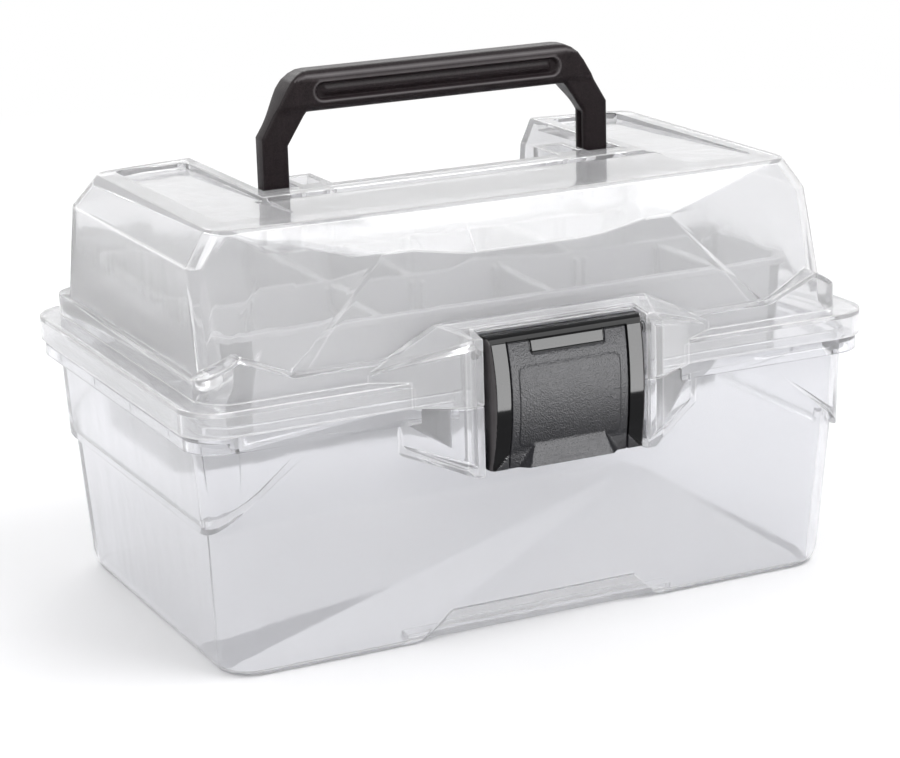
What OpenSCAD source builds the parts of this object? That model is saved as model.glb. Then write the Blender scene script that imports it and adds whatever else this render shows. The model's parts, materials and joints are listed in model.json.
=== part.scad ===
// Clear plastic art supply box: a stepped tub with a hinged, domed lid, a carrying handle
// that folds back into a trough in the lid, a snap latch, and a lift-out tray with dividers.
// Frame: origin at the centre of the tub's underside, +X along the length, +Y to the back,
// +Z up. The box is drawn closed with its handle standing up. Sizes are in millimetres.

/* [Box] */
// Length over the lid's rim
rim_length = 241.4; // [236:0.2:290]
// Depth over the lid's rim, front to back
rim_depth = 154; // [146:0.5:190]
// Height of the closed box without its handle
box_height = 138.8; // [134:0.2:160]
// Height of the joint between the tub's flange and the lid's rim
parting_height = 81.2; // [78:0.2:84]
// Thickness of the moulded walls
wall = 2; // [1.6:0.1:2.4]

/* [Tub] */
// Inset of the tub's foot from the lid's rim at each end
foot_end_inset = 11.7; // [11:0.1:14]
// Inset of the tub's foot from the lid's rim at the front and back
foot_front_inset = 9.5; // [8.5:0.1:13]
// Widening of the front and back walls for each millimetre of height
tub_draft = 0.1; // [0.06:0.01:0.11]
// Widening of the end walls for each millimetre of height
end_draft = 0.06; // [0.04:0.01:0.08]
// Height of the step where the tub gets wider
step_height = 47.3; // [42:0.1:50]
// How far the upper wall stands out past the lower wall at the step
step_width = 1.8; // [1.2:0.1:2]
// Height of the flange under the lid's rim
flange_height = 5.2; // [4:0.1:6]
// How far the lid's rim stands out past the flange
rim_overhang = 1.2; // [0.6:0.1:1.6]
// Height of the lip inside the lid's rim
lip_height = 2.8; // [2:0.1:3.4]
// Gap between the lip and the lid's rim
lip_gap = 0.6; // [0.4:0.1:1]
// Radius of the tub's corners at the table
tub_corner = 11; // [8:0.5:13]
// Height of the eased edge around the bottom
bottom_edge = 6; // [4:0.5:7]
// Half length of the bevel in the middle of the front's bottom edge
bevel_half = 46; // [36:1:54]
// Height of that bevel
bevel_height = 11; // [9:0.5:14]

/* [Lid] */
// Height of the lid's rim above the joint
rim_height = 8.4; // [7:0.1:9]
// Height of the band above the rim, up to the step in the side walls
band_height = 6.7; // [5:0.1:8]
// Inset of the lid's side walls from the rim
lid_side_inset = 7; // [6:0.1:9]
// Inset of the lid's front wall from the rim
lid_front_inset = 6.8; // [6:0.1:9]
// Inset of the lid's back wall from the rim
lid_back_inset = 2.6; // [2.2:0.1:4]
// Height of the bevel around the lid's top
top_bevel_height = 10.7; // [8:0.1:12]
// Width of that bevel at the sides
side_bevel = 7.7; // [6:0.1:9]
// Width of that bevel at the front
front_bevel = 10.5; // [8:0.1:12]
// Gap between the handle and each end of its trough in the lid's top
trough_end_gap = 2.3; // [2:0.1:6]
// Depth of the handle's trough
trough_depth = 19.8; // [19.4:0.1:21]
// Place of the trough's front wall, behind the box's centre line when positive
trough_front = -5; // [-7:0.5:-4]
// Depth of the ridge in front of the trough
ridge_depth = 9.5; // [7:0.5:12]
// Depth of the panels sunk into the lid's top
panel_sink = 2.2; // [1.2:0.1:2.6]
// Width of the raised border around each panel
panel_border = 6.5; // [5:0.5:9]

/* [Hinge] */
// Radius of the hinge pins
hinge_pin_r = 1.5; // [1.2:0.1:1.8]
// Radius of the hinge knuckles
knuckle_r = 3.6; // [3.3:0.1:4.2]
// Length of one knuckle
knuckle_length = 11; // [8:0.5:14]
// Distance from the box's centre to the middle of each hinge
hinge_offset = 62; // [48:1:80]
// Gap between neighbouring knuckles
knuckle_gap = 0.4; // [0.3:0.1:0.8]
// Radial clearance of a pin in its hole
pin_clearance = 0.05; // [0.02:0.01:0.09]

/* [Latch] */
// Width of the latch
latch_width = 56.2; // [48:0.2:60]
// Height of the latch's lower edge
latch_bottom = 60; // [58:0.5:63]
// Height of the latch's upper edge
latch_top = 102.5; // [100:0.1:103]
// Distance from the box's centre line to the latch's front
latch_front = 88.5; // [88:0.1:90]
// Radius of the latch's bowed front
latch_bow = 74; // [60:1:120]
// Thickness of the latch's front plate
latch_plate = 2.4; // [2:0.1:3]
// Gap on each side of the latch
latch_gap = 0.5; // [0.4:0.1:0.8]
// Radius of the latch's trunnions
trunnion_r = 1.9; // [1.5:0.1:2.2]
// Height of the latch's trunnions
latch_pivot_z = 97.5; // [97:0.1:98]
// Distance from the box's centre line to the latch's trunnions
latch_pivot_y = 81.5; // [81.2:0.1:81.8]
// Thickness of the cheeks beside the latch
cheek = 6; // [5:0.1:8]
// How far the cheeks' front lies in front of the trunnions
cheek_front = 4; // [3.8:0.1:4.4]
// How far the catch stands out of the pocket's back
catch_reach = 3.2; // [2.4:0.1:3.4]
// Gap between the catch and the latch's hook
hook_gap = 0.35; // [0.3:0.05:0.8]

/* [Handle] */
// Width over the handle's legs
handle_width = 126.4; // [118:0.2:127]
// Height of the standing handle above the lid's top
handle_rise = 36.2; // [34:0.2:42]
// Width of each leg
leg_width = 9; // [8:0.1:10.5]
// Depth of each leg, front to back
leg_depth = 8; // [7:0.1:8.4]
// Height of the grip's section
grip_height = 13.5; // [11:0.1:15]
// Depth of the grip's section
grip_depth = 12.6; // [11:0.1:13]
// Distance of the handle's front face in front of the pivot
handle_front = 3.8; // [3.4:0.1:4.2]
// Depth of the handle's pivot below the lid's top
pivot_drop = 7.8; // [7.4:0.1:8.2]
// Place of the pivot behind the box's centre line
pivot_y = 2.5; // [2:0.1:4]
// Radius of the pivot's trunnions
pivot_r = 3; // [2.5:0.1:3.4]
// Gap between a leg and its bearing block
leg_gap = 0.9; // [0.5:0.1:1.2]
// Width of each bearing block
bearing_width = 12; // [10:0.5:14]
// Depth of each bearing block, front to back
bearing_depth = 18; // [15:0.5:19]

/* [Tray] */
// Distance from each end of the tray to the end of the lid's rim
tray_end_gap = 17.2; // [16:0.1:22]
// Place of the tray's front rim in front of the centre line
tray_front = 55.5; // [50:0.5:58]
// Place of the tray's back rim behind the centre line
tray_back = 63.8; // [58:0.2:64]
// Gap between the tray's rim and the underside of the handle's trough
tray_headroom = 11; // [10:0.5:15]
// Height of the underside of the tray's deep back row
tray_floor = 50.6; // [50:0.2:60]
// Height of the underside of the tray's shallow front row
front_floor = 72; // [66:0.5:80]
// Narrowing of each tray wall from rim to floor
tray_taper = 3.6; // [2:0.1:4.5]
// Thickness of the tray's walls
tray_wall = 1.6; // [1.2:0.1:2]
// Place of the tray's long partition in front of the centre line
partition_place = 9; // [5:0.5:14]
// How far the front row is narrower than the back row, at each end
front_row_inset = 3; // [2:0.1:5]
// Distance from each end of the tray to the first slots for dividers
slot_margin = 26.5; // [24:0.1:34]
// Thickness of a divider
divider_thickness = 1.4; // [1.2:0.1:1.8]
// Gap around a divider in its slot
divider_gap = 0.3; // [0.2:0.05:0.5]
// Width of the hanging lugs at the tray's ends
lug_width = 56; // [40:1:70]
// Thickness of the hanging lugs
lug_thickness = 2; // [1.6:0.1:2.6]

/* [Hidden] */

$fn = 64;
fine = 64;          // facets of round parts that turn or fit
skin = 0.02;        // thickness of the thin slabs that hulls are drawn between
slit = 0.01;        // overrun of a cut past a face
far = 300;          // longer than the box in every direction

rim_x = rim_length / 2;
rim_y = rim_depth / 2;
rim_corner = 13;
rim_top = parting_height + rim_height;
band_top = rim_top + band_height;

// tub
flange_x = rim_x - rim_overhang;
flange_y = rim_y - rim_overhang;
flange_bottom = parting_height - flange_height;
lip_x = rim_x - wall - lip_gap - 3.5;   // the lip stands further in at the ends
lip_y = rim_y - wall - lip_gap;
lip_top = parting_height + lip_height;
foot_x = rim_x - foot_end_inset;
foot_y = rim_y - foot_front_inset;
end_ease = 1.4;            // inset of the eased bottom edge at the ends
front_ease = 3;            // and at the front and back
face_y = flange_y - 1.2;   // plane that the front and back walls share with the corner pads
fade_height = (face_y - foot_y) / tub_draft;   // height at which the pads fade out
pad_inner_x = foot_x - 24; // where they fade out along the box
pad_outer_x = foot_x + 2;
pad_corner = 14;           // radius of the pads' corners
rib_pitch = 34;            // distance between the ribs under the flange
bevel_inset = 3.6;         // inset of the front's bottom bevel at the table

// lid
lid_x = rim_x - lid_side_inset;
lid_front = rim_y - lid_front_inset;
lid_back = rim_y - lid_back_inset;
bevel_z = box_height - top_bevel_height;
lean_end = 3.9;      // how far the lid's end walls lean in up to the bevel
lean_front = 4.7;    // the same for the front wall
lean_back = 3;       // and for the back wall
bevel_x = lid_x - lean_end;
top_x = bevel_x - side_bevel;
foot_inset = 2.4;    // how far the dome's foot stands in from its side walls
wall_bow = 3.2;      // how far the front and back walls bow out at their foot
bevel_front_bow = 12;    // the same at the foot of the bevel, in front
bevel_back_bow = 11;     // and behind
top_front_bow = 2.4;     // the same around the flat top, in front
top_back_bow = 9;        // and behind
top_back_inset = 11;     // how far the flat top stands in from the back wall
middle_half = 46;    // half length of the wider bevel in the middle of the front
middle_core = 20;    // half length of its lower part
middle_cut = 9;      // how far that bevel's cutter reaches forward
front_border = 13;   // border between the front bevel and the sunk panels
back_border = 21;    // border between the sunk panels and the back wall
trough_x = handle_width / 2 + trough_end_gap;
trough_floor = box_height - trough_depth;
ridge_front = trough_front - ridge_depth;
panel_front = -lid_front + lean_front + front_bevel + front_border;
panel_back = lid_back - back_border;

// hinge
hinge_y = rim_y + knuckle_r + knuckle_gap;
hinge_z = parting_height;
hinge_hole_r = hinge_pin_r + pin_clearance;
knuckle_step = knuckle_length + knuckle_gap;
hinge_length = 3 * knuckle_length + 2 * knuckle_gap;

// latch and its housing
housing_flare = 28;  // how far the housing's slopes reach along the wall past the cheeks
latch_x = latch_width / 2;
pocket_x = latch_x + latch_gap;
cheek_x = pocket_x + cheek;
cheek_y = latch_pivot_y + cheek_front;
latch_swing_r = latch_top - latch_pivot_z + 0.6;
pocket_back = latch_pivot_y - latch_swing_r - 0.4;
pocket_top = latch_pivot_z + latch_swing_r + 0.4;
housing_x = cheek_x + housing_flare;
housing_root = rim_y - 8;
trunnion_hole_r = trunnion_r + pin_clearance;
trunnion_reach = 3;
catch_z = latch_bottom + 5.6;
catch_height = 3;
hook_y = pocket_back + catch_reach + hook_gap;
lip_set_back = pocket_back - wall - 0.5;

// handle
handle_top = box_height + handle_rise;
pivot_height = box_height - pivot_drop;
leg_x = handle_width / 2;
leg_inner = leg_x - leg_width;
leg_bottom = pivot_height - pivot_r - 1.5;
handle_y = pivot_y - handle_front;
shoulder_z = handle_top - 20.5;
corner_x = leg_x - 13.4;
grip_bottom = handle_top - grip_height;
groove_x = corner_x - 5.6;
groove_height = 6;
groove_depth = 1.4;
pivot_hole_r = pivot_r + pin_clearance;
bearing_x = leg_inner - leg_gap;
bearing_inner = bearing_x - bearing_width;
bearing_front = pivot_y - bearing_depth * 0.42;
bearing_wall = 2.4;
trunnion_tip = bearing_x - bearing_wall - 4;

// tray
tray_x = rim_x - tray_end_gap;
tray_top = trough_floor - wall - tray_headroom;
row_y = -partition_place;
front_row_x = tray_x - front_row_inset;
tray_corner = 8;
slots = [-2.5, -1.5, -0.5, 0.5, 1.5, 2.5];
slot_pitch = (tray_x - slot_margin) / 2.5;
front_dividers = [-1.5, 0.5, 2.5];
back_dividers = [-1.5, -0.5, 1.5];
rail = 1.4;
rail_depth = 2.4;
front_rail_rise = 20;    // how far above the floor the rails on the slanted walls begin
back_rail_rise = 30;
bead = 3;
bead_height = 2;
lug_bottom = lip_top + 0.02;
lug_x = lip_x - 0.5;
lug_y = 4;           // middle of the lugs, behind the box's centre line

// ---- shared outlines --------------------------------------------------------------------

// rectangle with round corners, drawn from exact circles
module round_rect(hx, hy, r) {
    square([2 * (hx - r), 2 * hy], center = true);
    square([2 * hx, 2 * (hy - r)], center = true);
    for (sx = [-1, 1], sy = [-1, 1])
        translate([sx * (hx - r), sy * (hy - r)]) circle(r);
}

// thin slab of a round-cornered rectangle at height z, for hulls
module slab(hx, hy, r, z) {
    translate([0, 0, z]) linear_extrude(skin) round_rect(hx, hy, r);
}

// ring between a round-cornered rectangle and the same one set in by t
module ring(hx, hy, r, t, z, h) {
    translate([0, 0, z]) linear_extrude(h) difference() {
        round_rect(hx, hy, r);
        round_rect(hx - t, hy - t, max(r - t, 1));
    }
}

// block given by its low and high corners
module block(lo, hi) {
    translate(lo) cube([hi[0] - lo[0], hi[1] - lo[1], hi[2] - lo[2]]);
}

// flat plate that stands in the XZ plane, from y0 to y1
module upright(points, y0, y1) {
    translate([0, y1, 0]) rotate([90, 0, 0]) linear_extrude(y1 - y0) polygon(points);
}

// bar along X with its section drawn in the YZ plane
module along_x(x0, x1) {
    translate([x0, 0, 0]) rotate([90, 0, 90]) linear_extrude(x1 - x0) children();
}

// cylinder along X
module rod_x(x0, x1, y, z, r) {
    translate([x0, y, z]) rotate([0, 90, 0]) cylinder(h = x1 - x0, r = r, $fn = fine);
}

function arc(cx, cy, r, a0, a1, n) =
    [for (i = [0 : n]) let (a = a0 + (a1 - a0) * i / n) [cx + r * cos(a), cy + r * sin(a)]];

function sag(x, half, mid, drop) = mid - drop * pow(abs(x / half), 3);

// outline with a bowed front and back and round corners, counter-clockwise
function bowed(hx, front, front_drop, back, back_drop, r) =
    let (ex = hx - r, n = 8, steps = [for (i = [-n : n]) i / n],
         fy = -sag(ex, hx, front, front_drop), by = sag(ex, hx, back, back_drop))
    concat([for (s = steps) [s * ex, -sag(s * ex, hx, front, front_drop)]],
           arc(ex, fy + r, r, -90, 0, 5),
           arc(ex, by - r, r, 0, 90, 5),
           [for (s = steps) [-s * ex, sag(s * ex, hx, back, back_drop)]],
           arc(-ex, by - r, r, 90, 180, 5),
           arc(-ex, fy + r, r, 180, 270, 5));

module bowed_slab(hx, front, front_drop, back, back_drop, r, z) {
    translate([0, 0, z]) linear_extrude(skin)
        polygon(bowed(hx, front, front_drop, back, back_drop, r));
}

// ---- tub --------------------------------------------------------------------------------

// lower body, which runs up to the flange; d sets the skin in for the cavity
module tub_body(d, z_low, z_high) {
    hx = foot_x - d;
    hy = foot_y - d;
    r = tub_corner - d / 2;
    ease = d > 0 ? [0, 0] : [end_ease, front_ease];
    hull() {
        slab(hx - ease[0], hy - ease[1], r, z_low);
        slab(hx - 0.3 * ease[0], hy - 0.3 * ease[1], r, z_low + 0.3 * bottom_edge);
        slab(hx + end_draft * bottom_edge, hy + tub_draft * bottom_edge, r, z_low + bottom_edge);
        slab(hx + end_draft * fade_height, face_y - d, r + 2, fade_height);
        slab(hx + end_draft * z_high, face_y - d, r + 2, z_high - skin);
    }
}

// upper body, wider than the lower one by the step
module tub_upper(d, z_low, z_high) {
    hx = foot_x + step_width + end_draft * step_height - d;
    grow = end_draft * (z_high - step_height);
    hull() {
        slab(hx, face_y - d, pad_corner - d / 2, z_low);
        slab(hx + grow, face_y - d, pad_corner + 1 - d / 2, z_high - skin);
    }
}

// space between the corner pads on the front and back, where the lower wall runs on up
module between_pads(d) {
    half = [[pad_outer_x + 4 + d, step_height - 1], [pad_outer_x - 5 + d, step_height + 8],
            [pad_inner_x + d, fade_height + 0.5]];
    outline = concat(half, [for (i = [len(half) - 1 : -1 : 0]) [-half[i][0], half[i][1]]]);
    upright(outline, -far / 2, 8 - foot_y);
    upright(outline, foot_y - 8, far / 2);
}

module tub_front_bevel() {
    low = foot_y - bevel_inset - 1;
    translate([0, -low, -slit]) rotate([atan(bevel_inset / bevel_height), 0, 0])
        upright([[-bevel_half, -1], [bevel_half, -1],
                 [bevel_half - 13, bevel_height], [13 - bevel_half, bevel_height]], -20, 0);
}

// outer form of the latch's housing, between two heights; d sets the skin in
module housing(d, root_points, front_points) {
    hull() {
        upright(root_points, d - housing_root, d - housing_root + skin);
        upright(front_points, d - cheek_y, d - cheek_y + skin);
    }
}

module tub_housing(d) {
    top = parting_height - slit;
    housing(d, [[d - housing_x, top], [d - housing_x + 1, parting_height - 11 + d],
                [d - cheek_x + 4, latch_bottom - 3.6 + d], [cheek_x - 4 - d, latch_bottom - 3.6 + d],
                [housing_x - 1 - d, parting_height - 11 + d], [housing_x - d, top]],
            [[d - cheek_x, top], [d - cheek_x, latch_bottom + 1.4 + d],
             [d - cheek_x + 3, latch_bottom - 1.6 + d], [cheek_x - 3 - d, latch_bottom - 1.6 + d],
             [cheek_x - d, latch_bottom + 1.4 + d], [cheek_x - d, top]]);
}

// room for the latch and its swing; grown by g it is the skin behind that room
module latch_pocket(g) {
    block([-pocket_x - g, -far / 2, latch_bottom - 4 - g],
          [pocket_x + g, -pocket_back + g, pocket_top + g]);
}

module hinge_knuckles(first, count, lid_side) {
    for (side = [-1, 1], i = [0 : count - 1]) {
        x = side * hinge_offset - hinge_length / 2 + (first + 2 * i) * knuckle_step;
        rod_x(x, x + knuckle_length, hinge_y, hinge_z, knuckle_r);
        block([x, rim_y - wall - (lid_side ? 0 : rim_overhang), hinge_z + (lid_side ? 0.2 : -knuckle_r)],
              [x + knuckle_length, hinge_y, hinge_z + (lid_side ? knuckle_r : -0.2)]);
    }
}

module hinge_holes() {
    for (side = [-1, 1])
        rod_x(side * hinge_offset - hinge_length / 2 - 1, side * hinge_offset + hinge_length / 2 + 1,
              hinge_y, hinge_z, hinge_hole_r);
}

// flange: a plate with a skirt that hangs from its edge, and ribs between skirt and wall
module tub_flange() {
    rib_x = lip_x - 0.4;
    ring(flange_x, flange_y, rim_corner - 1, 9, parting_height - wall, wall);
    ring(flange_x, flange_y, rim_corner - 1, wall, flange_bottom, flange_height);
    for (side = [-1, 1], i = [-1.5 : 1 : 1.5])
        block([side > 0 ? rib_x : 1 - flange_x, i * rib_pitch - 0.6, flange_bottom + 0.6],
              [side > 0 ? flange_x - 1 : -rib_x, i * rib_pitch + 0.6, parting_height - 1]);
}

// opening inside the lip
module lip_opening() {
    translate([0, 0, flange_bottom - 1]) linear_extrude(far)
        round_rect(lip_x - wall, lip_y - wall, rim_corner - 5);
}

module tub_cavity() {
    tub_body(wall, wall, lip_top + 2);
    difference() {
        tub_upper(wall, step_height + wall, lip_top + 2);
        between_pads(wall);
    }
}

module tub() {
    color([0.86, 0.87, 0.93, 0.4]) difference() {
        union() {
            difference() {
                union() {
                    tub_body(0, 0, parting_height - 1);
                    difference() {
                        tub_upper(0, step_height, parting_height - 1);
                        between_pads(0);
                    }
                    tub_housing(0);
                }
                tub_front_bevel();
                difference() {
                    union() {
                        tub_cavity();
                        tub_housing(wall);
                    }
                    latch_pocket(wall);
                    bevel_backing();
                }
                latch_pocket(0);
            }
            difference() {
                tub_flange();
                lip_opening();
                block([-cheek_x + 1, -far / 2, 0], [cheek_x - 1, 2 - housing_root, far]);
            }
            difference() {
                ring(lip_x, lip_y, rim_corner - 3, wall, parting_height - 4, lip_height + 4);
                block([-pocket_x - wall, -far / 2, 0], [pocket_x + wall, -lip_set_back, far]);
            }
            // the lip runs behind the lid's pocket, on a foot that joins it to the tub's own
            block([-pocket_x - 2 * wall, -lip_set_back, parting_height - 2 * wall],
                  [pocket_x + 2 * wall, wall - lip_set_back, lip_top]);
            block([-pocket_x - 2 * wall, 0.5 - pocket_back, parting_height - 2 * wall],
                  [pocket_x + 2 * wall, 1 - lip_set_back, parting_height - wall / 2]);
            hinge_knuckles(0, 2, false);
            catch();
        }
        hinge_holes();
    }
}

// skin behind the bevel on the front's bottom edge
module bevel_backing() {
    block([-bevel_half - 2, -foot_y - 2, 0], [bevel_half + 2, 8 - foot_y, wall + 2]);
}

// bar across the pocket that the latch's hook snaps over
module catch() {
    block([-pocket_x + 6, -pocket_back - catch_reach, catch_z],
          [pocket_x - 6, -pocket_back + 1, catch_z + catch_height]);
}

// ---- lid --------------------------------------------------------------------------------

// domed body with bevelled top edges; d sets the skin in for the cavity
module lid_body(d, z_low) {
    z0 = d > 0 ? z_low : rim_top - wall;
    hull() {
        bowed_slab(lid_x - foot_inset - d, lid_front - d, wall_bow, lid_back - d, wall_bow,
                   10 - d, z0);
        bowed_slab(bevel_x - d, lid_front - lean_front - d, bevel_front_bow,
                   lid_back - lean_back - d, bevel_back_bow, 8 - d / 2, bevel_z - 0.45 * d);
        bowed_slab(top_x - 0.5 * d, lid_front - lean_front - front_bevel - 0.5 * d, top_front_bow,
                   lid_back - top_back_inset - 0.5 * d, top_back_bow, 6, box_height - d - skin);
    }
}

// what the wider bevel in the middle of the lid's front takes away; g sets it in for the cavity
module middle_bevel(g) {
    in_y = 0.79 * g;
    in_z = 0.61 * g;
    y = 4.2 - lid_front + in_y;
    z = bevel_z - 3.6 - in_z;
    top_y = 5.1 + front_bevel - lid_front + in_y;
    top_z = box_height + 1.3 - in_z;
    hull() {
        along_x(-middle_core, middle_core)
            polygon([[y, z], [top_y + 1, top_z], [y - middle_cut, top_z], [y - middle_cut, z]]);
        along_x(-middle_half, middle_half)
            polygon([[y + 0.7, z + 3.6], [top_y + 0.2, top_z],
                     [y - middle_cut, top_z], [y - middle_cut, z + 3.6]]);
    }
}

module lid_band(d, z_low, z_high) {
    shift = (lid_back - lid_front) / 2;
    translate([0, shift, z_low]) linear_extrude(z_high - z_low)
        round_rect(lid_x - d, (lid_front + lid_back) / 2 - d, 11 - d);
}

// raised triangles that carry the band's line up around the front corners
module corner_facets(d) {
    peak_x = bevel_x - 8;
    reach = 24;
    intersection() {
        union() for (s = [-1, 1])
            upright([for (p = [[peak_x - reach, rim_top - wall], [peak_x - reach, band_top - 2.8 - d],
                               [peak_x, band_top + 7.2 - d], [lid_x, band_top + 0.2 - d],
                               [lid_x, rim_top - wall]]) [s * p[0], p[1]]],
                    -lid_front + d, -lid_front + 12);
        lid_band(d, rim_top - wall, band_top + 10);
    }
}

module lid_housing(d) {
    low = parting_height + (d > 0 ? -1 : 0);
    high = pocket_top + 1.2 - d;
    housing(d, [[d - housing_x, low], [d - housing_x, parting_height + 10.6 - d / 2],
                [d - cheek_x - 3, high], [cheek_x + 3 - d, high],
                [housing_x - d, parting_height + 10.6 - d / 2], [housing_x - d, low]],
            [[d - cheek_x, low], [d - cheek_x, high - 5], [d - cheek_x + 3, high - 2],
             [cheek_x - 3 - d, high - 2], [cheek_x - d, high - 5], [cheek_x - d, low]]);
}

// sunk panels at both ends of the top, joined by a strip in front of the ridge
module top_panels() {
    inner = trough_x + wall + 2.5;
    outer = top_x - panel_border;
    z = box_height - panel_sink;
    for (s = [-1, 1]) intersection() {
        translate([s * (inner + outer) / 2, (panel_front + panel_back) / 2, z - 1])
            linear_extrude(panel_sink + 2)
                round_rect((outer - inner) / 2, (panel_back - panel_front) / 2, 3);
        along_x(-lid_x, lid_x)
            polygon([[panel_front, box_height - 0.3], [panel_back, z],
                     [panel_back, box_height + 1], [panel_front, box_height + 1]]);
    }
    block([-inner - 3, ridge_front - 6, z], [inner + 3, ridge_front, box_height + 1]);
    block([-inner - 1, ridge_front - 3, z - panel_sink], [inner + 1, ridge_front, box_height + 1]);
}

module trough(g) {
    block([-trough_x - g, trough_front - g, trough_floor - g], [trough_x + g, far / 2, box_height + 1]);
}

module lid_cavity() {
    difference() {
        lid_body(wall, parting_height - 2);
        middle_bevel(wall);
    }
    lid_band(wall, parting_height - 2, band_top - wall);
    corner_facets(wall);
    translate([0, 0, parting_height - 2]) linear_extrude(rim_height - wall + 2)
        round_rect(rim_x - wall, rim_y - wall, rim_corner - wall);
}

// block that carries one end of the handle, with an open pocket and a gusset on its inner side
module bearing(s) {
    back = bearing_front + bearing_depth;
    gusset = 11;
    difference() {
        union() {
            block([s > 0 ? bearing_inner : -bearing_x, bearing_front, trough_floor - 1],
                  [s > 0 ? bearing_x : -bearing_inner, back, box_height]);
            upright([[s * (bearing_inner + 1), box_height], [s * (bearing_inner + 1), trough_floor - 1],
                     [s * (bearing_inner - gusset), trough_floor - 1]],
                    bearing_front + 5, bearing_front + 7);
        }
        block([s > 0 ? bearing_inner + bearing_wall : -bearing_x + bearing_wall,
               bearing_front + bearing_wall, trough_floor + 3],
              [s > 0 ? bearing_x - bearing_wall : -bearing_inner - bearing_wall,
               back - bearing_wall, box_height + 1]);
        rod_x(s > 0 ? bearing_inner + bearing_wall : -bearing_x - 1,
              s > 0 ? bearing_x + 1 : -bearing_inner - bearing_wall, pivot_y, pivot_height, pivot_hole_r);
    }
}

module lid() {
    color([0.95, 0.95, 0.98, 0.4]) difference() {
        union() {
            difference() {
                union() {
                    difference() {
                        lid_body(0, 0);
                        middle_bevel(0);
                    }
                    lid_band(0, rim_top - wall, band_top);
                    corner_facets(0);
                    translate([0, 0, parting_height]) linear_extrude(rim_height)
                        round_rect(rim_x, rim_y, rim_corner);
                    lid_housing(0);
                }
                difference() {
                    union() {
                        lid_cavity();
                        lid_housing(wall);
                    }
                    trough(wall);
                    latch_pocket(wall);
                    panel_backing();
                }
                latch_pocket(0);
                trough(0);
                top_panels();
            }
            for (s = [-1, 1]) bearing(s);
            hinge_knuckles(1, 1, true);
        }
        hinge_holes();
        rod_x(-pocket_x - trunnion_reach - 0.4, pocket_x + trunnion_reach + 0.4,
              -latch_pivot_y, latch_pivot_z, trunnion_hole_r);
    }
}

// skin under the sunk panels
module panel_backing() {
    along_x(-lid_x, lid_x)
        polygon([[panel_front - 3, box_height - wall - 0.3],
                 [panel_back + 3, box_height - panel_sink - wall],
                 [panel_back + 3, far], [panel_front - 3, far]]);
    block([-trough_x - wall - 5, ridge_front - 8, box_height - 2 * panel_sink - wall],
          [trough_x + wall + 5, ridge_front + 3, far]);
}

// ---- handle -----------------------------------------------------------------------------

// section of the grip: round at the back, flat in front
module grip_section() {
    r = 5;
    low = grip_bottom;
    for (y = [handle_y + 2, handle_y + grip_depth - r], z = [low + r, handle_top - r])
        translate([max(y, handle_y + r), z]) circle(r);
    polygon([[handle_y + 2, low], [handle_y + grip_depth - r, low],
             [handle_y + grip_depth - r, handle_top], [handle_y + 2, handle_top],
             [handle_y, handle_top - 2.4], [handle_y, low + 2.4]]);
    translate([handle_y + r, low + r]) square([grip_depth - r, grip_height - 2 * r]);
}

module handle_leg(s) {
    lean = 6.2;
    channel_z = pivot_height + pivot_r + 6;
    channel_depth = 1.2;
    difference() {
        upright([for (p = [[leg_inner, leg_bottom + 2], [leg_inner + 2, leg_bottom],
                           [leg_x - 2, leg_bottom], [leg_x, leg_bottom + 2],
                           [leg_x, shoulder_z], [corner_x + 3, handle_top - 3.4],
                           [corner_x - 2, handle_top - 1], [corner_x - 9, grip_bottom + 1],
                           [leg_inner - lean, grip_bottom + 0.2], [leg_inner, shoulder_z - 3.5]])
                     [s * p[0], p[1]]], handle_y, handle_y + leg_depth);
        // channel along the inner side
        upright([for (p = [[leg_inner - 1, channel_z], [leg_inner + channel_depth, channel_z],
                           [leg_inner + channel_depth, shoulder_z - 4],
                           [leg_inner - 1, shoulder_z - 4]])
                     [s * p[0], p[1]]], handle_y + 2, handle_y + leg_depth - 2);
    }
    rod_x(s > 0 ? trunnion_tip : -leg_inner - 1, s > 0 ? leg_inner + 1 : -trunnion_tip,
          pivot_y, pivot_height, pivot_r);
}

// long oval groove in the front of the grip; with a rib left standing along its middle
module grip_groove() {
    z = grip_bottom + grip_height / 2;
    half = groove_height / 2;
    difference() {
        translate([0, handle_y + groove_depth, z]) rotate([90, 0, 0])
            linear_extrude(groove_depth + 1) {
                square([2 * (groove_x - half), groove_height], center = true);
                for (s = [-1, 1]) translate([s * (groove_x - half), 0]) circle(half);
            }
        block([-groove_x + 3.4, handle_y + 0.3, z - 1], [groove_x - 3.4, handle_y + 3, z + 1]);
    }
}

module handle() {
    color([0.1, 0.09, 0.1]) difference() {
        union() {
            along_x(-corner_x + 1, corner_x - 1) grip_section();
            for (s = [-1, 1]) handle_leg(s);
        }
        grip_groove();
    }
}

// ---- latch ------------------------------------------------------------------------------

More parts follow.
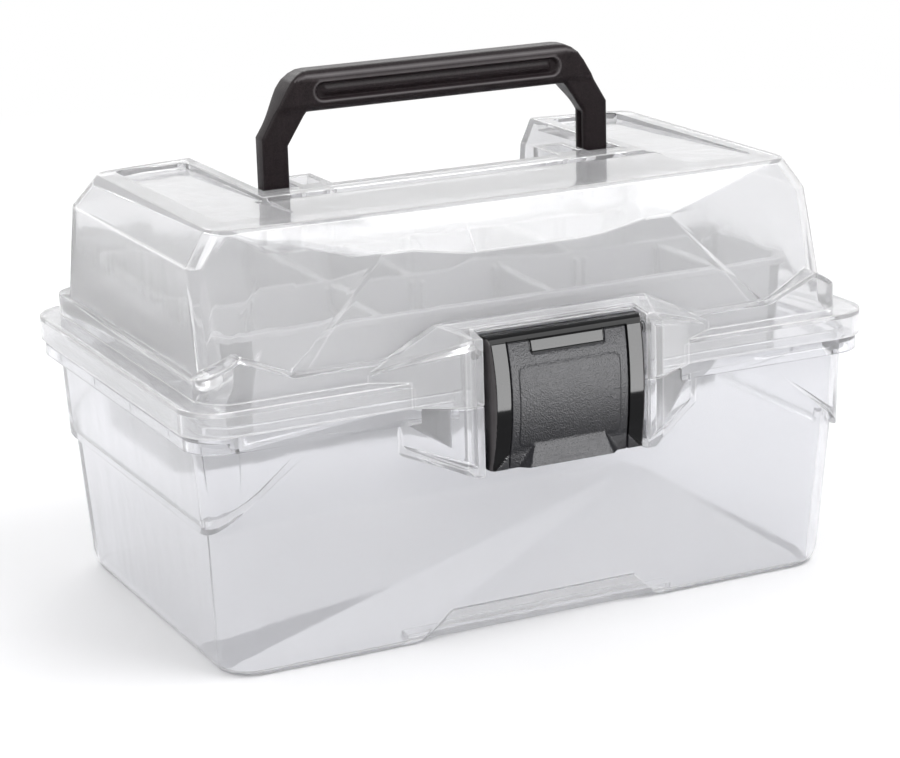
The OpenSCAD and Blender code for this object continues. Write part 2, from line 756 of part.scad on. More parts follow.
// side view of the latch: bowed front, bevelled top, hook at the bottom
module latch() {
    back = latch_pivot_y - 3.2;
    mid_z = (latch_bottom + latch_top) / 2;
    bevel = 3;
    label_x = 12.5;
    color([0.05, 0.05, 0.06]) {
        difference() {
            intersection() {
                along_x(-latch_x, latch_x)
                    polygon([[-back, latch_bottom + 1], [-latch_front, latch_bottom],
                             [-latch_front, latch_top - bevel - 0.6], [-latch_front + 4.4, latch_top],
                             [-back - 1.4, latch_top], [-back, latch_top - 1.6]]);
                rod_x(-latch_x, latch_x, latch_bow - latch_front, mid_z, latch_bow);
            }
            // hollow behind the front plate
            intersection() {
                block([-latch_x + latch_plate, -latch_front, latch_bottom + latch_plate],
                      [latch_x - latch_plate, 0, latch_pivot_z - trunnion_r - 1.2]);
                rod_x(-latch_x, latch_x, latch_bow - latch_front, mid_z, latch_bow - latch_plate);
            }
            // sunk rectangle at the top of the front
            block([-label_x, -latch_front - 1, latch_top - 8.4],
                  [label_x, -latch_front + 1.1, latch_top - 3.8]);
        }
        latch_hook();
        finger_tab();
        for (s = [-1, 1])
            rod_x(s > 0 ? latch_x - 1 : -latch_x - trunnion_reach,
                  s > 0 ? latch_x + trunnion_reach : 1 - latch_x,
                  -latch_pivot_y, latch_pivot_z, trunnion_r);
    }
}

// rib across the latch's inside that snaps over the tub's catch
module latch_hook() {
    block([-latch_x + 8, -latch_front + 2.6, latch_bottom + 1],
          [latch_x - 8, -hook_y, latch_bottom + 4.6]);
}

// sloping tab in the middle of the latch's lower edge
module finger_tab() {
    along_x(-10.5, 10.5)
        polygon([[-latch_front + 3.4, latch_bottom], [-latch_front - 0.2, latch_bottom],
                 [-latch_front - 0.2, latch_bottom + 0.9], [-latch_front + 1.3, latch_bottom + 7.2],
                 [-latch_front + 3.4, latch_bottom + 7.2]]);
}

// ---- tray -------------------------------------------------------------------------------

function tray_inset(z) = tray_taper * (tray_top - z) / (tray_top - tray_floor);

// bin with tapered walls, between y0 and y1 at the rim; d sets the skin in
module bin(hx, y0, y1, z_low, d) {
    in = tray_inset(z_low) + d;
    cy = (y0 + y1) / 2;
    hy = (y1 - y0) / 2;
    lift = d > 0 ? tray_wall : 0;
    translate([0, cy, 0]) hull() {
        slab(hx - in, hy - in, tray_corner - d - 2, z_low + lift);
        slab(hx - d, hy - d, tray_corner - d, tray_top + (d > 0 ? 1 : -skin));
    }
}

// pair of rails that holds one end of a divider, against a wall at y
module slot_rails(x, y, out, z_low) {
    gap = divider_thickness / 2 + divider_gap;
    for (s = [-1, 1])
        block([x + (s > 0 ? gap : -gap - rail), min(y, y + out * rail_depth), z_low],
              [x + (s > 0 ? gap + rail : -gap), max(y, y + out * rail_depth), tray_top - 3]);
}

module tray_rows(d) {
    bin(front_row_x, -tray_front, row_y + tray_wall / 2 + tray_inset(front_floor), front_floor, d);
    bin(tray_x, row_y - tray_wall / 2 - tray_inset(tray_floor), tray_back, tray_floor, d);
}

module tray() {
    back_floor = tray_floor + tray_wall;
    color([0.97, 0.97, 1, 0.5]) {
        difference() {
            union() {
                tray_rows(0);
                // hanging lugs
                block([-lug_x, lug_y - lug_width / 2, lug_bottom],
                      [lug_x, lug_y + lug_width / 2, lug_bottom + lug_thickness]);
                // rim bead
                intersection() {
                    translate([0, 0, tray_top - 2]) linear_extrude(2)
                        square([2 * tray_x + 2, far], center = true);
                    bead_outline();
                }
            }
            tray_rows(tray_wall);
        }
        // long partition
        intersection() {
            block([-far / 2, row_y - tray_wall / 2, tray_floor + 0.5],
                  [far / 2, row_y + tray_wall / 2, tray_top - 1]);
            bin(tray_x - 0.5, row_y - tray_back / 2, row_y + tray_back / 2, tray_floor, 0);
        }
        for (i = slots) {
            x = i * slot_pitch;
            slot_rails(x, -tray_front + tray_wall - 0.4, 1, front_floor + front_rail_rise);
            slot_rails(x, row_y - tray_wall / 2 + 0.2, -1, front_floor + 1);
            slot_rails(x, row_y + tray_wall / 2 - 0.2, 1, tray_floor + 1);
            slot_rails(x, tray_back - tray_wall + 0.4, -1, tray_floor + back_rail_rise);
        }
    }
}

// thickened edge around the two rows
module bead_outline() {
    translate([0, (row_y - 1 - tray_front) / 2, 0]) linear_extrude(far)
        round_rect(front_row_x + 0.8, (row_y + 1 + tray_front) / 2 + 0.8, tray_corner);
    translate([0, (row_y + tray_back) / 2, 0]) linear_extrude(far)
        round_rect(tray_x + 0.8, (tray_back - row_y) / 2 + 0.8, tray_corner);
}

// divider across one row, with a thick bead along its top
module divider(i, front_row) {
    x = i * slot_pitch;
    z_low = (front_row ? front_floor : tray_floor) + tray_wall + 0.3;
    clear = tray_wall + divider_gap;
    y0 = front_row ? -tray_front + clear : row_y + tray_wall / 2 + divider_gap;
    y1 = front_row ? row_y - tray_wall / 2 - divider_gap : tray_back - clear;
    slant = tray_inset(z_low) + 0.4;
    top = tray_top - 2;
    t = divider_thickness / 2;
    color([0.98, 0.98, 1, 0.6]) {
        along_x(x - t, x + t)
            polygon(front_row ? [[y0 + slant, z_low], [y1, z_low], [y1, top], [y0, top]]
                              : [[y0, z_low], [y1 - slant, z_low], [y1, top], [y0, top]]);
        block([x - bead / 2, y0 + rail_depth + 1, top - bead_height],
              [x + bead / 2, y1 - rail_depth - 1, top]);
    }
}

// ---- hinge pins -------------------------------------------------------------------------

module hinge_pin(side) {
    color([0.78, 0.79, 0.82])
        rod_x(side * hinge_offset - hinge_length / 2 + 0.5, side * hinge_offset + hinge_length / 2 - 0.5,
              hinge_y, hinge_z, hinge_pin_r);
}

tub();
lid();
hinge_pin(-1);  // hinge_pin_left
hinge_pin(1);  // hinge_pin_right
handle();
latch();
tray();
divider(front_dividers[0], true);  // divider_front_left
divider(front_dividers[1], true);  // divider_front_middle
divider(front_dividers[2], true);  // divider_front_right
divider(back_dividers[0], false);  // divider_back_left
divider(back_dividers[1], false);  // divider_back_middle
divider(back_dividers[2], false);  // divider_back_right
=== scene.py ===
# %% [markdown]
# # A clear plastic art supply box
# The real box is a handful of injection mouldings: a stepped tub, a domed lid on two pinned
# hinges, a black handle, a black snap latch, and a milky lift-out tray with loose dividers. The
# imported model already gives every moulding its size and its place, so nothing here is moved.
# This lesson dresses those mouldings. The clear ones keep their shape and get rounded edges.
# The handle, the latch, the dividers and the pins are made again, because their looks come from
# relief that the plain solids don't have.

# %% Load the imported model
import json
import math

import bmesh
import bpy
from mathutils import Matrix, Vector

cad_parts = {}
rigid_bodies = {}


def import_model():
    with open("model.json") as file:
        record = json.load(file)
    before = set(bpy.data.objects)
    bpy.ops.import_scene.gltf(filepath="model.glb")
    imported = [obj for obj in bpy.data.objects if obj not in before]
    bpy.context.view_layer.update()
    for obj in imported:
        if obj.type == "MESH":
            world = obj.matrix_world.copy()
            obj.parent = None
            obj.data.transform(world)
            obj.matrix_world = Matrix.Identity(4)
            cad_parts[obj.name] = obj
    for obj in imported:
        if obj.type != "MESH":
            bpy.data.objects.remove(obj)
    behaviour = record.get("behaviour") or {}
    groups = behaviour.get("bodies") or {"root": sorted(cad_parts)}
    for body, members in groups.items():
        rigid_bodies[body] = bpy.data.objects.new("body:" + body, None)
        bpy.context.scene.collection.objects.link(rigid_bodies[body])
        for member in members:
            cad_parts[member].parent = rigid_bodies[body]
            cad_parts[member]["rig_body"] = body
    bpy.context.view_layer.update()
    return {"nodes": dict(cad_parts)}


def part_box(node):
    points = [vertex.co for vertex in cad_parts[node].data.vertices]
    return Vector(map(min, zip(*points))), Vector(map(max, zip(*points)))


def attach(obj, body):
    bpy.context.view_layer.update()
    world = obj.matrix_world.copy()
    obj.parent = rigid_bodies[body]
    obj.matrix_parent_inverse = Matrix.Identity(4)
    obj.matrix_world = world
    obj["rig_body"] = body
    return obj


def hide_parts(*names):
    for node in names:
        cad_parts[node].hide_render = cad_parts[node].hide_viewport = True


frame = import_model()
MM = 0.001
scene = bpy.context.scene

# %% [markdown]
# ## The studio
# A pale floor fades out into a white surround, so the box stands in the clear. A lamp in front
# on the right draws the long edges, one on the left gives the form, a small low one draws the
# gloss on the latch, and a strip behind brings the edges of the clear walls to life. The
# surround is fully white only to rays that look at it, straight, in a reflection or through
# plastic. As a light it is a little weaker, so colours come out about as they are written.

# %% Small helpers for node trees
def new_material(name):
    """A material with an empty node tree."""
    material = bpy.data.materials.new(name)
    material.use_nodes = True
    material.node_tree.nodes.clear()
    return material


def put(tree, kind, **settings):
    """A new node with its settings; a setting that names an input fills or links it."""
    node = tree.nodes.new(kind)
    for name, value in settings.items():
        label = name.replace("_", " ")
        if hasattr(node, name):
            setattr(node, name, value)
        elif isinstance(value, bpy.types.NodeSocket):
            tree.links.new(value, node.inputs[label])
        else:
            node.inputs[label].default_value = value
    return node


def calc(tree, operation, *values, clamp=False):
    """A Math node of either kind of tree; each value is a number or a socket."""
    node = tree.nodes.new("ShaderNodeMath")
    node.operation, node.use_clamp = operation, clamp
    for socket, value in zip(node.inputs, values):
        if isinstance(value, (int, float)):
            socket.default_value = value
        else:
            tree.links.new(value, socket)
    return node.outputs[0]


def seen_rays(tree):
    """1 for rays that look at a surface: straight, mirrored or through clear plastic."""
    rays = put(tree, "ShaderNodeLightPath").outputs
    sum_of_two = calc(tree, "ADD", rays["Is Camera Ray"], rays["Is Glossy Ray"], clamp=True)
    return calc(tree, "ADD", sum_of_two, rays["Is Transmission Ray"], clamp=True)


# %% Floor that fades into white
FLOOR_RADIUS = 3.0
FADE_START, FADE_END = 0.32, 0.95
FLOOR_COLOR = (0.94, 0.94, 0.95, 1)
bpy.ops.mesh.primitive_circle_add(vertices=96, radius=FLOOR_RADIUS, fill_type="NGON")
floor = bpy.context.object
floor.name = "floor"
pale_floor = new_material("pale_floor")
tree = pale_floor.node_tree
where = put(tree, "ShaderNodeTexCoord").outputs["Object"]
distance = put(tree, "ShaderNodeVectorMath", operation="LENGTH")
tree.links.new(where, distance.inputs[0])
fade = put(tree, "ShaderNodeMapRange", From_Min=FADE_START, From_Max=FADE_END,
           Value=distance.outputs["Value"])
card = put(tree, "ShaderNodeBsdfPrincipled", Base_Color=FLOOR_COLOR, Roughness=0.7,
           Specular_IOR_Level=0.1)
glow = put(tree, "ShaderNodeEmission", Color=(1, 1, 1, 1))
blend = put(tree, "ShaderNodeMixShader", Fac=fade.outputs["Result"])
tree.links.new(card.outputs[0], blend.inputs[1])
tree.links.new(glow.outputs[0], blend.inputs[2])
put(tree, "ShaderNodeOutputMaterial", Surface=blend.outputs[0])
floor.data.materials.append(pale_floor)
print("floor fades from", FADE_START, "to", FADE_END, "m")

# %% White surround
WORLD_LEVEL = 0.72
world = bpy.data.worlds.new("studio")
world.use_nodes = True
scene.world = world
tree = world.node_tree
level = put(tree, "ShaderNodeMapRange", To_Min=WORLD_LEVEL, To_Max=1.0, Value=seen_rays(tree))
background = tree.nodes["Background"]
background.inputs["Color"].default_value = (1, 1, 1, 1)
tree.links.new(level.outputs["Result"], background.inputs["Strength"])
print("the surround lights the box at", WORLD_LEVEL)

# %% Four soft lamps
BOX_MIDDLE = (0, 0, 0.08)


def softbox(name, place, width, height, watts):
    """A rectangular lamp at a place, turned to face the box."""
    data = bpy.data.lights.new(name, "AREA")
    data.shape = "RECTANGLE"
    data.size, data.size_y, data.energy = width, height, watts
    lamp = bpy.data.objects.new(name, data)
    scene.collection.objects.link(lamp)
    lamp.location = place
    lamp.rotation_euler = (Vector(BOX_MIDDLE) - Vector(place)).to_track_quat("-Z", "Y").to_euler()
    print(name, watts, "W")
    return lamp


softbox("key_lamp", (0.42, -0.55, 0.98), 0.8, 0.5, 6.2)
softbox("side_lamp", (-0.95, -0.35, 0.8), 0.8, 0.6, 3.5)
latch_lamp = softbox("latch_lamp", (0.09, -0.27, 0.08), 0.16, 0.14, 1.7)
latch_lamp.visible_diffuse = latch_lamp.visible_camera = False
softbox("back_strip", (0.15, 1.0, 0.8), 1.4, 0.3, 5.0)

# %% Camera
CAMERA_AIM = Vector((1.1, 0, 65.0)) * MM
CAMERA_DISTANCE = 932.8 * MM
FOCAL_LENGTH, SENSOR_WIDTH = 110.04, 36.0
NEAREST_SEEN = 0.05
LIGHT_BOUNCES = 32
AZIMUTH, ELEVATION, ROLL = (math.radians(angle) for angle in (-25.76, 15.69, -1.67))
lens = bpy.data.cameras.new("camera")
lens.lens, lens.sensor_width, lens.clip_start = FOCAL_LENGTH, SENSOR_WIDTH, NEAREST_SEEN
camera = bpy.data.objects.new("camera", lens)
scene.collection.objects.link(camera)
away = Vector((math.sin(AZIMUTH) * math.cos(ELEVATION), -math.cos(AZIMUTH) * math.cos(ELEVATION),
               math.sin(ELEVATION)))
camera.location = CAMERA_AIM + away * CAMERA_DISTANCE
facing = (-away).to_track_quat("-Z", "Y").to_matrix()
camera.rotation_euler = (facing @ Matrix.Rotation(ROLL, 3, "Z")).to_euler()
scene.camera = camera
scene.view_settings.view_transform = "Standard"
for kind in ("max_bounces", "transmission_bounces", "transparent_max_bounces"):
    setattr(scene.cycles, kind, LIGHT_BOUNCES)
print("camera at", [round(c, 4) for c in camera.location])

# %% [markdown]
# ## Shared finishes
# All the mouldings come from polished or spark-eroded steel moulds, so a few effects turn up in
# more than one plastic. Each is a shader node group, built once: the slight waves that melted
# plastic leaves, the fine grain of an eroded mould, the rubbed look of a part that is handled,
# and a mask along the edges that places painted light: a painted glow and painted white on the
# edges of a clear wall, and painted highlights on the edges of the black plastics.

# %% A helper for shader groups
def shader_group(name, inputs, outputs):
    """A node group with named float or colour inputs; returns it and its end nodes."""
    group = bpy.data.node_groups.new(name, "ShaderNodeTree")
    kinds = {float: "NodeSocketFloat", tuple: "NodeSocketColor"}
    for label, value in inputs.items():
        socket = group.interface.new_socket(label, in_out="INPUT", socket_type=kinds[type(value)])
        socket.default_value = value
    for label, kind in outputs.items():
        group.interface.new_socket(label, in_out="OUTPUT", socket_type=kinds[kind])
    start, end = group.nodes.new("NodeGroupInput"), group.nodes.new("NodeGroupOutput")
    return group, start.outputs, end.inputs


def use_group(tree, group, **values):
    """One use of a shader group in a material, with its own values."""
    node = tree.nodes.new("ShaderNodeGroup")
    node.node_tree = group
    for name, value in values.items():
        node.inputs[name.replace("_", " ")].default_value = value
    return node.outputs


def noise(tree, scale, detail=2.0, stretch=None):
    """Noise on the piece's own coordinates; returns a socket from 0 to 1."""
    place = put(tree, "ShaderNodeTexCoord").outputs["Object"]
    if stretch:
        place = put(tree, "ShaderNodeMapping", Vector=place, Scale=stretch).outputs["Vector"]
    node = put(tree, "ShaderNodeTexNoise", Vector=place, Detail=detail)
    if isinstance(scale, (int, float)):
        node.inputs["Scale"].default_value = scale
    else:
        tree.links.new(scale, node.inputs["Scale"])
    return node.outputs["Fac"]


def blend_colors(tree, amount, first, second):
    """A colour between two others, by an amount from 0 to 1."""
    mix = tree.nodes.new("ShaderNodeMix")
    mix.data_type = "RGBA"
    for socket, value in ((mix.inputs[0], amount), (mix.inputs[6], first), (mix.inputs[7], second)):
        if isinstance(value, bpy.types.NodeSocket):
            tree.links.new(value, socket)
        else:
            socket.default_value = value
    return mix.outputs[2]


# %% Melt flow: the waves and the faint haze of a moulded wall
melt_flow, given, made = shader_group(
    "melt_flow",
    {"Color": (0.9, 0.9, 0.95, 1.0), "Haze Color": (1.0, 1.0, 1.0, 1.0), "Haze": 0.3,
     "Gloss": 0.1, "Gloss Spread": 0.04},
    {"Color": tuple, "Roughness": float, "Height": float})
broad = noise(melt_flow, 28.0)
drawn = noise(melt_flow, 60.0, stretch=(1.0, 1.0, 0.25))
hazed = calc(melt_flow, "MULTIPLY", broad, given["Haze"])
body = blend_colors(melt_flow, hazed, given["Color"], given["Haze Color"])
melt_flow.links.new(body, made["Color"])
spread = calc(melt_flow, "MULTIPLY", drawn, given["Gloss Spread"])
melt_flow.links.new(calc(melt_flow, "ADD", given["Gloss"], spread), made["Roughness"])
melt_flow.links.new(calc(melt_flow, "ADD", broad, drawn), made["Height"])
print("group", melt_flow.name)

# %% Spark grain: the pitted skin that an eroded mould leaves
spark_grain, given, made = shader_group(
    "spark_grain", {"Grains per Metre": 2200.0, "Contrast": 0.5}, {"Height": float, "Shade": float})
fine = noise(spark_grain, given["Grains per Metre"], detail=1.0)
coarse = noise(spark_grain, calc(spark_grain, "MULTIPLY", given["Grains per Metre"], 0.4))
pits = calc(spark_grain, "ADD", calc(spark_grain, "MULTIPLY", fine, 0.7),
            calc(spark_grain, "MULTIPLY", coarse, 0.3))
spark_grain.links.new(pits, made["Height"])
centred = calc(spark_grain, "MULTIPLY", calc(spark_grain, "SUBTRACT", pits, 0.5), given["Contrast"])
spark_grain.links.new(calc(spark_grain, "ADD", centred, 0.5, clamp=True), made["Shade"])
print("group", spark_grain.name)

# %% Handling: fine rubbed scratches that change the gloss
handling, given, made = shader_group("handling", {"Amount": 0.1}, {"Mask": float})
across = noise(handling, 900.0, stretch=(0.06, 1.0, 1.0))
along = noise(handling, 700.0, stretch=(1.0, 0.5, 0.05))
patches = noise(handling, 25.0)
lines = calc(handling, "SUBTRACT", calc(handling, "MAXIMUM", across, along), 0.58, clamp=True)
rubbed = calc(handling, "MULTIPLY", calc(handling, "MULTIPLY", lines, 6.0), patches)
handling.links.new(calc(handling, "MULTIPLY", rubbed, given["Amount"], clamp=True), made["Mask"])
print("group", handling.name)

# %% Edge light: a mask along the rounded edges, which the mesh carries as an attribute; it places painted glow and painted highlights
EDGE = "edge"
edge_light, given, made = shader_group("edge_light", {"Amount": 1.0}, {"Mask": float})
painted = put(edge_light, "ShaderNodeAttribute", attribute_name=EDGE).outputs["Fac"]
uneven = calc(edge_light, "ADD", calc(edge_light, "MULTIPLY", noise(edge_light, 90.0), 0.6), 0.7)
lit = calc(edge_light, "MULTIPLY", calc(edge_light, "MULTIPLY", painted, uneven), given["Amount"])
edge_light.links.new(calc(edge_light, "MINIMUM", lit, 1.0), made["Mask"])
print("group", edge_light.name)

# %% [markdown]
# ## The clear plastics
# The tub and the lid are clear polypropylene: see-through, but never quite as clear as glass,
# with a cool milky cast. A Principled shader does that with most of its weight on transmission
# and the rest on a pale diffuse body. The tray and the dividers are the same plastic with more
# milk in it, so about half of their weight is on the body. Along the edges a glow is painted in,
# as emission and as white in the body colour, standing for the light a clear wall pipes.

# %% Clear and milky plastics
PLASTIC_IOR = 1.49
WHITE, BLACK = (1, 1, 1, 1), (0, 0, 0, 1)


def clear_plastic(name, color, haze_color, milk, gloss, wave, edge_glow):
    """Moulded plastic that lets light through; milk is the share that scatters it."""
    material = new_material(name)
    tree = material.node_tree
    flow = use_group(tree, melt_flow, Color=(*color, 1), Haze_Color=(*haze_color, 1), Haze=0.5,
                     Gloss=gloss, Gloss_Spread=0.05)
    edges = use_group(tree, edge_light, Amount=1.0)["Mask"]
    rubbed = use_group(tree, handling, Amount=0.10)["Mask"]
    # Painted light along the edges: the body colour turns white there, and the edges glow by
    # emission at edge_glow strength.
    body = blend_colors(tree, edges, flow["Color"], WHITE)
    rough = calc(tree, "ADD", flow["Roughness"], rubbed)
    bump = put(tree, "ShaderNodeBump", Height=flow["Height"], Distance=wave, Strength=1.0)
    shell = put(tree, "ShaderNodeBsdfPrincipled", Base_Color=body, Roughness=rough,
                IOR=PLASTIC_IOR, Transmission_Weight=1 - milk, Normal=bump.outputs["Normal"],
                Emission_Color=blend_colors(tree, edges, BLACK, WHITE),
                Emission_Strength=edge_glow)
    put(tree, "ShaderNodeOutputMaterial", Surface=shell.outputs[0])
    print(name, "milk", milk, "gloss", gloss)
    return material


MILKY_COLOR, MILKY_HAZE = (0.985, 0.986, 0.998), (0.995, 0.995, 1.0)
tub_plastic = clear_plastic("tub_plastic", (0.945, 0.948, 0.975), (0.98, 0.98, 0.99), milk=0.17,
                            gloss=0.06, wave=0.12 * MM, edge_glow=0.10)
lid_plastic = clear_plastic("lid_plastic", (0.98, 0.98, 0.995), (0.995, 0.995, 1.0), milk=0.20,
                            gloss=0.06, wave=0.12 * MM, edge_glow=0.12)
tray_plastic = clear_plastic("tray_plastic", MILKY_COLOR, MILKY_HAZE, milk=0.56,
                             gloss=0.16, wave=0.10 * MM, edge_glow=0.10)
divider_plastic = clear_plastic("divider_plastic", MILKY_COLOR, MILKY_HAZE, milk=0.60,
                                gloss=0.18, wave=0.10 * MM, edge_glow=0.10)

# %% [markdown]
# ## The clear mouldings
# A moulded edge is never sharp: it has a radius of a few tenths of a millimetre, and in clear
# plastic that radius is what the eye reads, as a thin white line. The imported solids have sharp
# edges, so each is copied, its flat faces are joined again, and its sharp edges are rounded by
# a Bevel. The bevel is told edge by edge how wide it may be, because one that is wider than the
# face beside it folds over itself and shows as a dark streak. Where a face folds all the same,
# the bevels around it are halved and the piece is done again.

# %% Rounded copies of the mouldings
SHARP, FOLDED = math.radians(24), math.radians(150)
SHORTEST_EDGE = 0.9 * MM
ROOM_SHARE = 0.42
SOURCE, FOLD_AREA = "source", 0.05 * MM * MM
ATTEMPTS, LAST_RESORTS = 7, 3
BEVEL_SLOT = 1


def face_reach(face, edge):
    """How far a face reaches from one of its edges, in its own plane."""
    start = edge.verts[0].co
    line = (edge.verts[1].co - start).normalized()
    return max((v.co - start - line * (v.co - start).dot(line)).length for v in face.verts)


def edge_weight(edge, width):
    """The share of the bevel's width that an edge can take, from 0 to 1."""
    if len(edge.link_faces) != 2 or edge.calc_length() < SHORTEST_EDGE:
        return 0.0
    if not SHARP < edge.calc_face_angle(0.0) < FOLDED:
        return 0.0
    room = min(face_reach(face, edge) for face in edge.link_faces)
    return min(1.0, ROOM_SHARE * room / width)


def merged_copy(node, flat):
    """A node's mesh as one skin, with its flat faces joined again."""
    bm = bmesh.new()
    bm.from_mesh(frame["nodes"][node].data)
    bmesh.ops.remove_doubles(bm, verts=bm.verts, dist=0.01 * MM)
    bmesh.ops.dissolve_limit(bm, angle_limit=math.radians(flat), verts=bm.verts, edges=bm.edges)
    return bm


def paint_edges(mesh):
    """Writes the edge attribute: 1 on points that have only bevel faces around them."""
    values = [1.0] * len(mesh.vertices)
    for polygon in mesh.polygons:
        if polygon.material_index != BEVEL_SLOT:
            for corner in polygon.vertices:
                values[corner] = 0.0
        polygon.material_index = 0
    mesh.attributes.new(EDGE, "FLOAT", "POINT").data.foreach_set("value", values)


def folded_faces(mesh, normals):
    """The source faces that a bevel has folded over themselves."""
    mesh.calc_loop_triangles()
    sources = mesh.attributes[SOURCE].data
    found = set()
    for triangle in mesh.loop_triangles:
        face = triangle.polygon_index
        if mesh.polygons[face].material_index != BEVEL_SLOT and triangle.area > FOLD_AREA:
            if triangle.normal.dot(normals[sources[face].value]) < 0.5:
                found.add(sources[face].value)
    return found


def bevelled(piece, width):
    """A piece's mesh with its weighted edges rounded, as a mesh of its own."""
    bevel = piece.modifiers.new("edges", "BEVEL")
    bevel.width, bevel.segments, bevel.limit_method = width, 2, "WEIGHT"
    bevel.use_clamp_overlap, bevel.material = False, BEVEL_SLOT
    weigh = piece.modifiers.new("flat_faces", "WEIGHTED_NORMAL")
    weigh.weight = 50
    depsgraph = bpy.context.evaluated_depsgraph_get()
    final = bpy.data.meshes.new_from_object(piece.evaluated_get(depsgraph))
    piece.modifiers.clear()
    return final


def rounded(node, width, flat, material):
    """A copy of a node with rounded edges, which stands for it."""
    bm = merged_copy(node, flat)
    weights = bm.edges.layers.float.new("bevel_weight_edge")
    sources = bm.faces.layers.int.new(SOURCE)
    bm.faces.ensure_lookup_table()
    for edge in bm.edges:
        edge[weights] = edge_weight(edge, width)
    for face in bm.faces:
        face[sources] = face.index
    normals = [face.normal.copy() for face in bm.faces]
    mesh = bpy.data.meshes.new(node + "_shell")
    mesh.materials.append(material)
    mesh.materials.append(material)
    piece = bpy.data.objects.new(node + "_shell", mesh)
    scene.collection.objects.link(piece)
    for attempt in range(ATTEMPTS):
        bm.to_mesh(mesh)
        mesh.shade_smooth()
        final = bevelled(piece, width)
        folded = folded_faces(final, normals)
        if not folded:
            break
        for edge in {edge for index in folded for edge in bm.faces[index].edges}:
            edge[weights] *= 0.5 if attempt < ATTEMPTS - LAST_RESORTS else 0.0
    bm.free()
    piece.data = final
    final.attributes.remove(final.attributes[SOURCE])
    paint_edges(final)
    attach(piece, frame["nodes"][node]["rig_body"])
    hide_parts(node)
    print(node, len(final.polygons), "faces after", attempt + 1, "tries,", len(folded), "folded")


rounded("tub", 0.5 * MM, 0.2, tub_plastic)
rounded("lid", 0.5 * MM, 0.8, lid_plastic)
rounded("tray", 0.3 * MM, 0.8, tray_plastic)

# %% [markdown]
# ## Dividers
# Six loose sheets stand in the tray's slots: thin walls with a thicker bead along the top, short
# of the slots, and a slanted end where the tray narrows. They differ only in their sizes, so one
# Geometry Nodes tree makes them all: a rounded section is run along the tray's depth, its end is
# slanted by moving points, and the bead is joined on. Cutting six sheets by hand would make
# six chances for a slip.

# %% Helpers for Geometry Nodes
def geometry_tree(name, sizes):
    """A tree whose named inputs are sizes and a material; returns it and those inputs."""
    tree = bpy.data.node_groups.new(name, "GeometryNodeTree")
    for label, value in sizes.items():
        socket = tree.interface.new_socket(label, in_out="INPUT", socket_type="NodeSocketFloat")
        socket.default_value = value
    tree.interface.new_socket("Material", in_out="INPUT", socket_type="NodeSocketMaterial")
    tree.interface.new_socket("Geometry", in_out="OUTPUT", socket_type="NodeSocketGeometry")
    return tree, tree.nodes.new("NodeGroupInput").outputs


def xyz(tree, x, y, z):
    """A vector from three numbers or sockets."""
    return put(tree, "ShaderNodeCombineXYZ", X=x, Y=y, Z=z).outputs[0]


def close_tree(tree, given, geometry):
    """Ends a tree with real geometry in its own material."""
    real = put(tree, "GeometryNodeRealizeInstances", Geometry=geometry).outputs[0]
    dressed = put(tree, "GeometryNodeSetMaterial", Geometry=real, Material=given["Material"])
    tree.links.new(dressed.outputs[0], tree.nodes.new("NodeGroupOutput").inputs[0])


def grown(name, tree, material, **sizes):
    """The plain mesh that a tree gives for these sizes."""
    maker = bpy.data.objects.new(name, bpy.data.meshes.new(name))
    scene.collection.objects.link(maker)
    modifier = maker.modifiers.new("tree", "NODES")
    modifier.node_group = tree
    values = {label.replace("_", " "): value for label, value in sizes.items()}
    values["Material"] = material
    for item in tree.interface.items_tree:
        if item.in_out == "INPUT":
            modifier[item.identifier] = values[item.name]
    depsgraph = bpy.context.evaluated_depsgraph_get()
    mesh = bpy.data.meshes.new_from_object(maker.evaluated_get(depsgraph))
    bpy.data.objects.remove(maker)
    return mesh


def settle(piece_name, mesh, body, nodes):
    """Makes a finished mesh a piece that rides on a body and stands for its nodes."""
    piece = bpy.data.objects.new(piece_name, mesh)
    scene.collection.objects.link(piece)
    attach(piece, body)
    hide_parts(*nodes)
    low, high = (Vector(f(v.co[i] for v in mesh.vertices) for i in range(3)) for f in (min, max))
    print(piece_name, len(mesh.polygons), "faces, mm", [round(c / MM, 1) for c in high - low])
    return piece


# %% The divider's tree
divider_tree, given = geometry_tree("divider_sheet", {
    "Place": 0.0, "Front": 0.0, "Back": 0.0, "Low": 0.0, "Top": 0.0, "Thickness": 0.0014,
    "Front Slant": 0.0, "Back Slant": 0.0, "Bead Width": 0.003, "Bead Height": 0.002,
    "Bead Inset": 0.0034, "Bead Rise": 0.00015, "Round": 0.0005})


def run_section(tree, given, width, height, start, end, middle):
    """A rounded rectangle, run along the tray's depth with its middle at a height."""
    section = put(tree, "GeometryNodeCurvePrimitiveQuadrilateral", Width=width, Height=height)
    fillet = put(tree, "GeometryNodeFilletCurve", mode="POLY", Radius=given["Round"],
                 Limit_Radius=True, Curve=section.outputs[0], Count=4)
    path = put(tree, "GeometryNodeCurvePrimitiveLine",
               Start=xyz(tree, given["Place"], start, middle),
               End=xyz(tree, given["Place"], end, middle))
    dense = put(tree, "GeometryNodeResampleCurve", Curve=path.outputs[0], Count=24)
    run = put(tree, "GeometryNodeCurveToMesh", Curve=dense.outputs[0], Fill_Caps=True)
    tree.links.new(fillet.outputs[0], run.inputs["Profile Curve"])
    return run.outputs[0]


